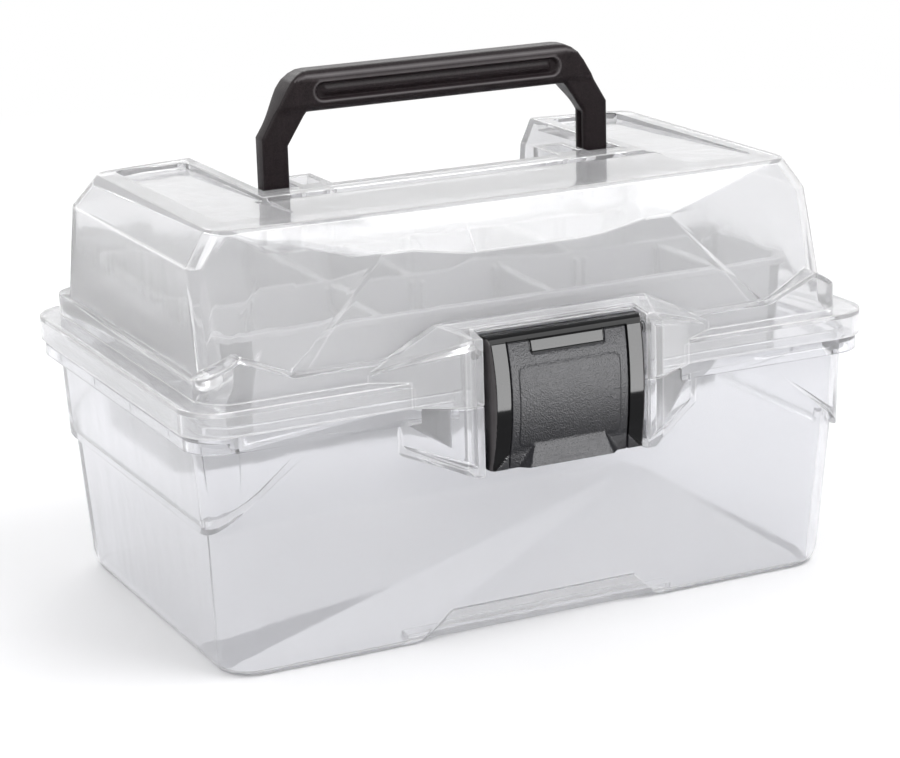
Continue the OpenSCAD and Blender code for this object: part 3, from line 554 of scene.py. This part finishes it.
def slanted(tree, given, sheet):
    """Draws the ends in towards the bottom, by the two slants."""
    parts = put(tree, "ShaderNodeSeparateXYZ",
                Vector=put(tree, "GeometryNodeInputPosition").outputs[0]).outputs
    height = calc(tree, "SUBTRACT", given["Top"], given["Low"])
    fall = calc(tree, "DIVIDE", calc(tree, "SUBTRACT", given["Top"], parts["Z"]), height)
    depth = calc(tree, "SUBTRACT", given["Back"], given["Front"])
    along = calc(tree, "DIVIDE", calc(tree, "SUBTRACT", parts["Y"], given["Front"]), depth)
    inwards = calc(tree, "MULTIPLY", calc(tree, "SUBTRACT", 1.0, along), given["Front Slant"])
    outwards = calc(tree, "MULTIPLY", along, given["Back Slant"])
    move = calc(tree, "MULTIPLY", calc(tree, "SUBTRACT", inwards, outwards), fall)
    return put(tree, "GeometryNodeSetPosition", Geometry=sheet,
               Offset=xyz(tree, 0.0, move, 0.0)).outputs[0]


tree = divider_tree
wall_top = calc(tree, "SUBTRACT", given["Top"], given["Bead Rise"])
height = calc(tree, "SUBTRACT", wall_top, given["Low"])
middle = calc(tree, "MULTIPLY", calc(tree, "ADD", wall_top, given["Low"]), 0.5)
wall = slanted(tree, given, run_section(tree, given, given["Thickness"], height, given["Front"],
                                        given["Back"], middle))
half_bead = calc(tree, "MULTIPLY", given["Bead Height"], 0.5)
bead_middle = calc(tree, "SUBTRACT", given["Top"], half_bead)
bead = run_section(tree, given, given["Bead Width"], given["Bead Height"],
                   calc(tree, "ADD", given["Front"], given["Bead Inset"]),
                   calc(tree, "SUBTRACT", given["Back"], given["Bead Inset"]), bead_middle)
joined = put(tree, "GeometryNodeMeshBoolean", operation="UNION")
tree.links.new(wall, joined.inputs["Mesh 2"])
tree.links.new(bead, joined.inputs["Mesh 2"])
close_tree(tree, given, joined.outputs[0])
print("tree", tree.name, len(tree.nodes), "nodes")

# %% Six dividers
SHEET_SIZES = {"Thickness": 1.4 * MM, "Bead_Width": 3.0 * MM, "Bead_Height": 2.0 * MM,
               "Bead_Inset": 3.4 * MM, "Bead_Rise": 0.15 * MM, "Round": 0.35 * MM}
SLANTS = {"front": {"Front_Slant": 2.49 * MM, "Back_Slant": 0.0},
          "back": {"Front_Slant": 0.0, "Back_Slant": 3.88 * MM}}


def smooth_faces(mesh, angle):
    """Smooth shading that keeps folds sharper than an angle."""
    mesh.shade_smooth()
    mesh.set_sharp_from_angle(angle=math.radians(angle))


def divider(row, side):
    """One divider, from the box that its node fills."""
    node = f"divider_{row}_{side}"
    low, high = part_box(node)
    mesh = grown(node, divider_tree, divider_plastic, Place=(low[0] + high[0]) / 2, Front=low[1],
                 Back=high[1], Low=low[2], Top=high[2], **SHEET_SIZES, **SLANTS[row])
    smooth_faces(mesh, 50)
    settle(node + "_sheet", mesh, node, [node])


for row in ("front", "back"):
    for side in ("left", "middle", "right"):
        divider(row, side)

# %% [markdown]
# ## Pins
# The hinges turn on short steel pins, and the handle and the latch turn on round stubs moulded
# to them. All are turned shapes with a broken edge at each end, so one tree makes them: a line
# of points that crowd together at the ends, where the radius falls off along a quarter circle.

# %% The turned pin's tree
EDGE_STEPS = 6
pin_tree, given = geometry_tree("turned_pin", {
    "Start": 0.0, "End": 0.01, "Depth": 0.0, "Height": 0.0, "Radius": 0.0015, "Round": 0.0004})
tree = pin_tree
count = 2 * EDGE_STEPS + 2
index = put(tree, "GeometryNodeInputIndex").outputs[0]
mirrored = calc(tree, "SUBTRACT", float(count - 1), index)
step = calc(tree, "MINIMUM", index, mirrored)
turn = calc(tree, "MULTIPLY", step, math.pi / 2 / EDGE_STEPS)
setback = calc(tree, "MULTIPLY", given["Round"],
               calc(tree, "SUBTRACT", 1.0, calc(tree, "COSINE", turn)))
far_half = calc(tree, "GREATER_THAN", index, EDGE_STEPS + 0.5)
near_place = calc(tree, "ADD", given["Start"], setback)
far_place = calc(tree, "SUBTRACT", given["End"], setback)
gap = calc(tree, "SUBTRACT", far_place, near_place)
place = calc(tree, "MULTIPLY_ADD", gap, far_half, near_place)
points = put(tree, "GeometryNodeMeshLine", Count=count)
line = put(tree, "GeometryNodeSetPosition", Geometry=points.outputs[0],
           Position=xyz(tree, place, given["Depth"], given["Height"]))
path = put(tree, "GeometryNodeMeshToCurve")
tree.links.new(line.outputs[0], path.inputs[0])
lost = calc(tree, "MULTIPLY", given["Round"], calc(tree, "SUBTRACT", 1.0, calc(tree, "SINE", turn)))
circle = put(tree, "GeometryNodeCurvePrimitiveCircle", Resolution=40, Radius=1.0)
pin = put(tree, "GeometryNodeCurveToMesh", Curve=path.outputs[0], Fill_Caps=True,
          Scale=calc(tree, "SUBTRACT", given["Radius"], lost))
tree.links.new(circle.outputs[0], pin.inputs["Profile Curve"])
close_tree(tree, given, pin.outputs[0])
print("tree", tree.name, len(tree.nodes), "nodes")

# %% Steel for the pins
pin_steel = new_material("pin_steel")
tree = pin_steel.node_tree
drawn = noise(tree, 900.0, stretch=(0.05, 1.0, 1.0))
steel_gloss = calc(tree, "MULTIPLY_ADD", drawn, 0.22, 0.18)
steel_color = blend_colors(tree, drawn, (0.50, 0.51, 0.53, 1), (0.66, 0.67, 0.69, 1))
bump = put(tree, "ShaderNodeBump", Height=drawn, Distance=0.01 * MM)
steel = put(tree, "ShaderNodeBsdfPrincipled", Metallic=1.0, Roughness=steel_gloss,
            Base_Color=steel_color, Normal=bump.outputs["Normal"])
put(tree, "ShaderNodeOutputMaterial", Surface=steel.outputs[0])

# %% Two hinge pins
for side in ("left", "right"):
    node = "hinge_pin_" + side
    low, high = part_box(node)
    mesh = grown(node, pin_tree, pin_steel, Start=low[0], End=high[0], Depth=(low[1] + high[1]) / 2,
                 Height=(low[2] + high[2]) / 2, Radius=(high[1] - low[1]) / 2, Round=0.4 * MM)
    smooth_faces(mesh, 35)
    settle(node + "_turned", mesh, "tub", [node])

# %% [markdown]
# ## Black plastics
# The handle has a fine, even grain all over. The latch has a deeper grain on its middle and
# polished bands beside it, so its mesh carries a grain attribute that says where the grain
# shows, and one material reads it. Both get the same rubbed look as the other plastics, and a
# painted highlight, a paler colour along the edges that their edge attribute marks.

# %% Black plastic with a grain that an attribute lays on
GRAIN = "grain"
# The paler colour of the painted highlight along the black edges.
PAINTED_EDGE_HIGHLIGHT = (0.20, 0.185, 0.19, 1)


def black_plastic(name, color, pale, shine, gloss, dull, grains, depth, painted_highlight):
    """Black plastic: polished where the grain attribute is 0 and pitted where it is 1."""
    material = new_material(name)
    tree = material.node_tree
    laid = put(tree, "ShaderNodeAttribute", attribute_name=GRAIN).outputs["Fac"]
    pits = use_group(tree, spark_grain, Grains_per_Metre=grains, Contrast=1.6)
    rubbed = use_group(tree, handling, Amount=0.25)["Mask"]
    edges = use_group(tree, edge_light, Amount=painted_highlight)["Mask"]
    speckled = calc(tree, "MULTIPLY", pits["Shade"], laid)
    worn = calc(tree, "ADD", speckled, rubbed, clamp=True)
    base = blend_colors(tree, worn, (*color, 1), (*pale, 1))
    # Painted highlight: the colour turns paler where the edge attribute marks the edges.
    base = blend_colors(tree, edges, base, PAINTED_EDGE_HIGHLIGHT)
    rough = calc(tree, "MULTIPLY_ADD", laid, dull - gloss, gloss)
    bump = put(tree, "ShaderNodeBump", Height=calc(tree, "MULTIPLY", pits["Height"], laid),
               Distance=depth)
    shell = put(tree, "ShaderNodeBsdfPrincipled", Base_Color=base, Specular_IOR_Level=shine,
                Roughness=calc(tree, "ADD", rough, calc(tree, "MULTIPLY", rubbed, 0.5)),
                Normal=bump.outputs["Normal"])
    put(tree, "ShaderNodeOutputMaterial", Surface=shell.outputs[0])
    return material


handle_plastic = black_plastic(
    "handle_plastic", (0.002, 0.001, 0.0015), (0.026, 0.018, 0.020), shine=0.16, gloss=0.16,
    dull=0.32, grains=2600.0, depth=0.06 * MM, painted_highlight=0.5)
latch_plastic = black_plastic(
    "latch_plastic", (0.001, 0.001, 0.0015), (0.022, 0.022, 0.027), shine=0.15, gloss=0.06,
    dull=0.36, grains=2200.0, depth=0.19 * MM, painted_highlight=0.3)
print(handle_plastic.name, latch_plastic.name)

# %% [markdown]
# ## Handle
# The handle is one moulding: two flat legs with a channel down their inner side, slanted
# shoulders, and a thick grip with a flat front, a round back, and a long oval groove with a rib
# standing in it. It is lofted: a closed section is drawn at each station of the right half, the
# left half repeats them mirrored, and a skin joins them. The groove is pressed into the front
# afterwards, as a function of the place of each point, so its round ends come out clean.

# %% Lofting helpers
def smoothstep(low, high, value):
    """0 below low, 1 above high, and a smooth rise between."""
    t = min(1.0, max(0.0, (value - low) / (high - low)))
    return t * t * (3 - 2 * t)


def mixed(a, b, t):
    """The value a share t of the way from a to b; works on tuples too."""
    if isinstance(a, tuple):
        return tuple(mixed(p, q, t) for p, q in zip(a, b))
    return a + (b - a) * t


def quarter(cx, cy, r, start, steps):
    """Points on a quarter circle that starts at an angle, turning one way."""
    angles = [start + math.pi / 2 * i / steps for i in range(steps + 1)]
    return [(cx + r * math.cos(a), cy + r * math.sin(a)) for a in angles]


def skin(bm, rings):
    """A closed skin over a row of rings that have the same number of points, in mm."""
    loops = [[bm.verts.new([c * MM for c in point]) for point in ring] for ring in rings]
    for near, far in zip(loops, loops[1:]):
        for i in range(len(near)):
            j = (i + 1) % len(near)
            bm.faces.new((near[i], near[j], far[j], far[i]))
    bm.faces.new(loops[0][::-1])
    bm.faces.new(loops[-1])
    bmesh.ops.recalc_face_normals(bm, faces=bm.faces)


def finish_mesh(bm, name, material, angle):
    """Turns a bmesh into a smooth mesh with a material."""
    mesh = bpy.data.meshes.new(name)
    bm.to_mesh(mesh)
    bm.free()
    mesh.materials.clear()
    mesh.materials.append(material)
    smooth_faces(mesh, angle)
    return mesh


# %% The handle's section and stations, in mm
GRIP_FRONT, LEG_FRONT = -1.3, -0.4
LEG_BACK, GRIP_BACK = 6.7, 11.3
CHANNEL_DEPTH = 1.3
FRONT_POINTS, ROUND_STEPS = 40, 6


def handle_section(outer, inner, edge_outer, edge_inner, edge_back, back, channel):
    """A closed section between an outer and an inner point of the handle's outline."""
    width = math.dist(outer, inner)
    front = GRIP_FRONT
    loop = quarter(edge_outer, front + edge_outer, edge_outer, math.pi, ROUND_STEPS)
    span = width - edge_outer - edge_inner
    loop += [(edge_outer + span * i / FRONT_POINTS, front) for i in range(1, FRONT_POINTS)]
    loop += quarter(width - edge_inner, front + edge_inner, edge_inner, -math.pi / 2, ROUND_STEPS)
    near, far = front + 2.7, back - 2.2
    loop += [(width, near - 0.2), (width - channel, near + 0.3), (width - channel, far - 0.3),
             (width, far + 0.2)]
    loop += quarter(width - edge_back, back - edge_back, edge_back, 0, ROUND_STEPS)
    loop += [(width / 2, back)]
    loop += quarter(edge_back, back - edge_back, edge_back, math.pi / 2, ROUND_STEPS)
    across = [(inner[i] - outer[i]) / width for i in range(2)]
    return [(outer[0] + s * across[0], y, outer[1] + s * across[1]) for s, y in loop]


# outer point, inner point, edges, back, channel and steps to the next station
STATIONS = [
    ((60.7, 126.5), (56.4, 126.5), 1.2, 1.2, 1.2, 0.0, 3),
    ((63.2, 128.7), (54.2, 128.7), 1.2, 1.3, 1.2, 0.0, 4),
    ((63.2, 138.0), (54.2, 138.0), 1.2, 1.3, 1.2, 0.0, 2),
    ((63.2, 139.0), (54.2, 138.8), 1.2, 1.3, 1.2, 1.0, 8),
    ((63.2, 152.4), (54.2, 149.8), 1.2, 1.3, 1.2, 1.0, 2),
    ((63.2, 154.2), (54.2, 151.2), 1.2, 1.3, 1.2, 0.0, 16),
    ((54.4, 169.0), (48.2, 160.3), 1.3, 1.5, 3.0, 0.0, 6),
    ((52.4, 171.8), (47.2, 161.4), 1.6, 1.8, 3.8, 0.0, 5),
    ((50.2, 173.6), (46.4, 161.5), 2.4, 2.0, 4.4, 0.0, 5),
    ((47.8, 174.7), (45.6, 161.5), 3.2, 2.0, 4.8, 0.0, 4),
    ((45.4, 175.0), (44.8, 161.5), 3.8, 2.0, 5.0, 0.0, 18),
    ((36.0, 175.0), (36.0, 161.5), 3.8, 2.0, 5.0, 0.0, 14),
    ((0.0, 175.0), (0.0, 161.5), 3.8, 2.0, 5.0, 0.0, 0)]


def handle_rings():
    """Sections from the right leg's foot, over the grip, to the left leg's foot."""
    rings = []
    for here, there in zip(STATIONS, STATIONS[1:]):
        for i in range(here[6]):
            outer, inner, edge_o, edge_i, edge_b, channel = mixed(here[:6], there[:6], i / here[6])
            middle_z = (outer[1] + inner[1]) / 2
            back = mixed(LEG_BACK, GRIP_BACK, smoothstep(155.0, 166.5, middle_z))
            rings.append(handle_section(outer, inner, edge_o, edge_i, edge_b, back,
                                        channel * CHANNEL_DEPTH))
    right = rings + [handle_section(*STATIONS[-1][:5], GRIP_BACK, 0.0)]
    return right + [[(-x, y, z) for x, y, z in ring] for ring in rings[::-1]]


# %% The groove, its rib and the step from grip to leg
GROOVE_MIDDLE, GROOVE_HALF, GROOVE_R = 168.0, 41.6, 3.0
GROOVE_DEPTH, RIB_HEIGHT, LIP_HEIGHT = 1.35, 0.9, 0.2
PRESSED_DEPTH, PRESSED_HALF, PRESSED_LOW = 1.8, 46.0, 163.0
LEG_TOP, GRIP_LOW = 161.4, 164.4


def outside_groove(x, z):
    """Distance outside the groove's outline; negative inside it."""
    return math.hypot(max(abs(x) - GROOVE_HALF, 0.0), z - GROOVE_MIDDLE) - GROOVE_R


def press_front(x, y, z):
    """Where a point of the handle's front goes once groove and leg step are pressed in."""
    if y > PRESSED_DEPTH:
        return y
    outside = outside_groove(x, z)
    valley = GROOVE_DEPTH * smoothstep(0.2, -0.9, outside) if outside < 0.2 else 0.0
    rib_share = smoothstep(GROOVE_HALF + 0.4, GROOVE_HALF - 1.0, abs(x)) \
        if abs(x) > GROOVE_HALF - 1.0 else 1.0
    rise = math.cos(math.pi / 2 * min(1.0, abs(z - GROOVE_MIDDLE) / 2.3)) ** 2
    lip = LIP_HEIGHT * math.exp(-((outside - 0.5) / 0.4) ** 2)
    step = (LEG_FRONT - GRIP_FRONT) * (1 - smoothstep(LEG_TOP, GRIP_LOW, z))
    moved = valley - RIB_HEIGHT * rise * rib_share * (valley / GROOVE_DEPTH) - lip
    share = 1 - smoothstep(GRIP_FRONT + 0.6, PRESSED_DEPTH, y)
    return y + (moved if abs(x) < PRESSED_HALF and z > PRESSED_LOW else 0.0) + step * share


# %% The handle's mesh
def add_mesh(bm, mesh):
    """Adds a plain mesh to a bmesh."""
    bm.from_mesh(mesh)
    bpy.data.meshes.remove(mesh)


def add_stubs(bm, material, inner, outer, y, z, radius, edge):
    """Adds the two stubs that a moulding turns on, by their sizes in mm."""
    for side in (-1, 1):
        ends = sorted((side * inner * MM, side * outer * MM))
        add_mesh(bm, grown("stub", pin_tree, material, Start=ends[0], End=ends[1], Depth=y * MM,
                           Height=z * MM, Radius=radius * MM, Round=edge * MM))


def lay(mesh, name, rule):
    """Writes an attribute by a rule on each point's place in mm."""
    values = [rule(*(c / MM for c in vertex.co)) for vertex in mesh.vertices]
    mesh.attributes.new(name, "FLOAT", "POINT").data.foreach_set("value", values)


def handle_highlight_mask(x, y, z):
    """1 on the lip around the groove and on the front edges of the grip, where a highlight is
    painted.
    """
    if y > 1.2 or z < 162:
        return 0.0
    return max(math.exp(-((outside_groove(x, z) - 0.35) / 0.35) ** 2),
               math.exp(-((y - GRIP_FRONT - 0.5) / 0.3) ** 2) if z > 172 else 0.0)


bm = bmesh.new()
skin(bm, [[(x, press_front(x, y, z), z) for x, y, z in ring] for ring in handle_rings()])
add_stubs(bm, handle_plastic, inner=46.9, outer=55.2, y=2.5, z=131.0, radius=3.0, edge=0.5)
mesh = finish_mesh(bm, "handle_moulding", handle_plastic, 38)
lay(mesh, GRAIN, lambda x, y, z: 1.0)
# A painted highlight on the groove's lip and on the grip's front edges.
lay(mesh, EDGE, handle_highlight_mask)
settle("handle_moulding", mesh, "handle", ["handle"])

# %% [markdown]
# ## Latch
# The latch is a bowed plate with side walls, a bevelled top, and a hook inside its lower edge.
# Its front has a story of its own: polished side bands parted from the grained middle by fine
# grooves, a smooth label field at the top, a faint raised panel, a lip that flares out at the
# bottom, and a finger tab. All of that is written as one function of width and height that says
# how far the front stands out, and a loft across the width follows it.

# %% The latch's front as a function of width and height, in mm
LATCH_HALF, BAND_START, WALL_INSIDE = 28.1, 22.0, 25.7
LATCH_LOW, LATCH_HIGH, STRIP_LOW = 60.0, 102.5, 100.2
BOW_RADIUS, BOW_MIDDLE, BOW_FRONT = 74.0, 81.25, 88.25
BACK_EDGE = 78.3
LABEL_HALF, LABEL_LOW = 13.6, 96.1
PANEL_HALF_X, PANEL_HALF_Z, PANEL_MIDDLE = 18.8, 12.9, 79.5
PANEL_RISE, GROOVE_CUT, LABEL_CUT = 0.16, 0.45, 0.42
FLARE_TOP, TAB_TOP, TAB_HALF = 65.0, 67.4, 12.8
FURTHEST_OUT = 88.65


def narrowing(out):
    """The sides lean in towards the front: the share of the width left at a distance out."""
    return mixed(1.0, 0.94, min(1.0, max(0.0, (out - BACK_EDGE) / 10)))


def bow(z):
    """How far the plain bowed front stands out at a height."""
    return BOW_FRONT - BOW_RADIUS + math.sqrt(BOW_RADIUS ** 2 - (z - BOW_MIDDLE) ** 2)


def round_box(x, z, half_x, half_z, radius):
    """Distance outside a rounded rectangle; negative inside it."""
    dx, dz = abs(x) - half_x + radius, abs(z) - half_z + radius
    return math.hypot(max(dx, 0), max(dz, 0)) + min(max(dx, dz), 0) - radius


def label_distance(x, z):
    """Distance outside the label field, which runs up under the top strip."""
    return round_box(x, z - LABEL_LOW - 5.0, LABEL_HALF, 5.0, 1.0)


def tab_share(x, z):
    """1 on the finger tab, falling to 0 down its slanted sides."""
    below = TAB_TOP - z
    if below <= 0:
        return 0.0
    half = TAB_HALF + 0.36 * below
    return 1 - smoothstep(half, half + 0.35 + 0.40 * below, abs(x))


def latch_front(x, z):
    """How far the finished front stands out."""
    out = bow(z)
    out += 0.25 * smoothstep(BAND_START - 0.1, BAND_START + 0.35, abs(x))
    out -= GROOVE_CUT * math.exp(-((abs(x) - BAND_START + 0.1) / 0.22) ** 2)
    flare = max(0.0, FLARE_TOP - z)
    inside = 1 - smoothstep(BAND_START + flare * 1.1, BAND_START + flare * 1.1 + 0.8, abs(x))
    out += 0.16 * flare * inside
    outside = round_box(x, z - PANEL_MIDDLE, PANEL_HALF_X, PANEL_HALF_Z, 2.5)
    out += PANEL_RISE * (1 - smoothstep(-0.25, 0.15, outside))
    out -= LABEL_CUT * math.exp(-(label_distance(x, z) / 0.24) ** 2)
    tab = bow(TAB_TOP) + 0.1 + 0.19 * (TAB_TOP - z)
    out = mixed(out, max(out, tab), tab_share(x, z))
    edge = max(0.0, abs(x) - LATCH_HALF + 0.9) / 0.9
    return min(out - 0.7 * (1 - math.sqrt(1 - min(edge, 0.999) ** 2)), FURTHEST_OUT)


# %% The latch's sections, from side to side
FRONT_ROWS, PLATE = 92, 2.4
TOP_STRIP = ((84.0, 102.05), (84.5, 101.7), (85.0, 101.25), (85.4, 100.8), (85.62, 100.5))
INSIDE_ROWS = (64.6, 70.0, 76.0, 82.0, 88.0, 94.2)


def latch_section(x):
    """A closed section across the height, seen from the side, at one place of the width."""
    heights = [STRIP_LOW - (STRIP_LOW - LATCH_LOW) * i / FRONT_ROWS for i in range(FRONT_ROWS + 1)]
    round_in = latch_front(0.5, STRIP_LOW) - latch_front(x, STRIP_LOW)
    round_in = max(0.0, round_in) if abs(x) > LATCH_HALF - 1 else 0.0
    loop = [(BACK_EDGE + 1.4, LATCH_HIGH), (83.0, LATCH_HIGH), (83.5, LATCH_HIGH - 0.25)]
    loop += [(out - round_in, z) for out, z in TOP_STRIP]
    loop += [(latch_front(x, z), z) for z in heights]
    if abs(x) > WALL_INSIDE:
        loop += [(latch_front(x, LATCH_LOW) - 1.2, LATCH_LOW), (BACK_EDGE, LATCH_LOW + 1.0)]
        loop += [(BACK_EDGE, z) for z in INSIDE_ROWS]
    else:
        loop += [(latch_front(x, LATCH_LOW) - 1.0, LATCH_LOW), (bow(LATCH_LOW) - PLATE, 60.6)]
        loop += [(bow(z) - PLATE, z) for z in INSIDE_ROWS]
    loop += [(BACK_EDGE, 94.6), (BACK_EDGE, LATCH_HIGH - 1.6)]
    return [(x * narrowing(out), -out, z) for out, z in loop]


# the place of an edge in the relief, how far the close rows reach from it, and their pitch
CLOSE_ROWS = ((BAND_START, 0.7, 0.12), (LABEL_HALF, 0.7, 0.12), (27.7, 0.4, 0.1),
              (PANEL_HALF_X, 0.4, 0.2))


def latch_places():
    """Places across the width: close together where the relief has edges."""
    places = {round(-LATCH_HALF + 0.7 * i, 3) for i in range(81)}
    for edge, reach, pitch in CLOSE_ROWS:
        steps = int(2 * reach / pitch) + 1
        for s in (-1, 1):
            places |= {round(s * (edge - reach + pitch * i), 3) for i in range(steps)}
    for s in (-1, 1):
        places |= {s * (WALL_INSIDE - 0.04), s * (WALL_INSIDE + 0.04), s * LATCH_HALF}
    kept = []
    for x in sorted(p for p in places if abs(p) <= LATCH_HALF):
        if not kept or x - kept[-1] > 0.05:
            kept.append(x)
    return kept


# %% The latch's mesh
HOOK_OUTLINE = ((86.0, 60.9), (80.0, 60.9), (79.05, 62.2), (79.05, 64.2), (79.5, 64.6),
                (86.0, 64.6))
HOOK_PLACES = (-20.1, -19.0, 19.0, 20.1)


def latch_grain(x, y, z):
    """1 on the grained middle, 0 on the polished bands, label and top strip."""
    x /= narrowing(-y)
    if z > STRIP_LOW - 0.2 or label_distance(x, z) < 0.0:
        return 0.0
    if -y < bow(min(max(z, LATCH_LOW), STRIP_LOW)) - 1.4:
        return 0.4
    flare = max(0.0, FLARE_TOP - z)
    return 1 - smoothstep(BAND_START - 0.35 + flare, BAND_START + 0.05 + flare, abs(x))


bm = bmesh.new()
skin(bm, [latch_section(x) for x in latch_places()])
hook = bmesh.new()
skin(hook, [[(x, -out, z) for out, z in HOOK_OUTLINE] for x in HOOK_PLACES])
hook_mesh = bpy.data.meshes.new("hook")
hook.to_mesh(hook_mesh)
hook.free()
add_mesh(bm, hook_mesh)
add_stubs(bm, latch_plastic, inner=27.1, outer=31.1, y=-81.5, z=97.5, radius=1.9, edge=0.4)
mesh = finish_mesh(bm, "latch_moulding", latch_plastic, 34)
lay(mesh, GRAIN, latch_grain)
# A painted highlight along the outer rims of the latch's front.
lay(mesh, EDGE, lambda x, y, z: 1.0 if -y > 84 and abs(x / narrowing(-y)) > 27.6 else 0.0)
latch_piece = settle("latch_moulding", mesh, "latch", ["latch"])
lit_pieces = bpy.data.collections.new("latch_lamp_lights")
lit_pieces.objects.link(latch_piece)
latch_lamp.light_linking.receiver_collection = lit_pieces

# %% Done
print("scene built")
